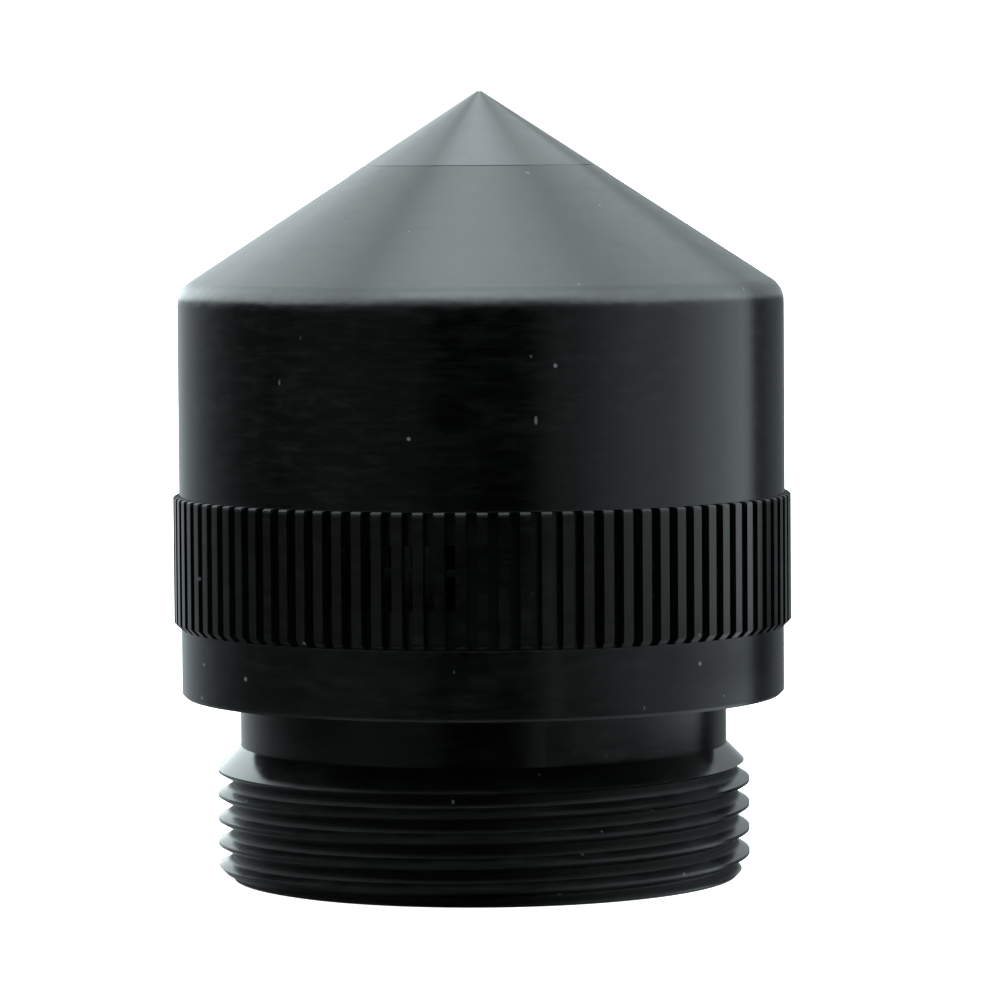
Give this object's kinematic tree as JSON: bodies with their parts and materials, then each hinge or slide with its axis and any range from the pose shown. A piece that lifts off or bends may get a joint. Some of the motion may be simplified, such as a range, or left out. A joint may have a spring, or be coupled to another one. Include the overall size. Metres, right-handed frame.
{
  "type": "pneumatic muffler",
  "caption": "Black cylindrical screw-in exhaust muffler with a conical cap, a ribbed turning collar, a plain neck and a fine external thread.",
  "frame": {"origin": "centre of the inlet face, at the foot of the port thread", "axes": "+Z along the axis of symmetry, from the inlet to the tip of the cone; +X points at the stop pin"},
  "size_m": [0.0254, 0.0254, 0.0324],
  "materials": {
    "cap_black": "black anodised, finely turned, satin",
    "tip_black": "black anodised, finely turned, satin",
    "collar_black": "black anodised, milled ribs",
    "base_black": "black anodised, turned",
    "bronze": "sintered, grainy",
    "brass": "drawn, bright",
    "steel": "rolled or brushed",
    "dark_steel": "blackened spring steel",
    "felt": "pressed felt",
    "rubber": "moulded, matt",
    "polymer": "skived, waxy"
  },
  "bodies": {
    "base": {"threaded_base": "base_black", "stop_pin": "steel", "collar_seal_ring": "rubber", "cap_seal_ring": "rubber", "inlet_strainer": "steel", "strainer_snap_ring": "dark_steel", "core_tube": "brass", "core_tube_lid": "brass", "window_screen": "dark_steel", "baffle_disc_lower": "steel", "baffle_disc_middle": "steel", "baffle_disc_upper": "steel", "felt_ring_lower": "felt", "felt_ring_middle": "felt", "felt_ring_upper": "felt", "pressure_disc": "steel", "sintered_sleeve": "bronze", "stack_spring": "dark_steel"},
    "collar": {"throttle_collar": "collar_black"},
    "cap": {"cap_shell": "cap_black", "cone_tip": "tip_black", "tip_nut": "steel", "tip_seal_washer": "rubber", "collar_slide_washer": "polymer"}
  },
  "joints": [
    {"name": "collar_turn", "type": "hinge", "parent": "base", "child": "collar", "pos_m": [0, 0, 0.0131], "axis": [0, 0, 1], "range_deg": [0, 30]},
    {"name": "cap_lift", "type": "slide", "parent": "base", "child": "cap", "axis": [0, 0, 1], "range_m": [0, 0.014]}
  ]
}
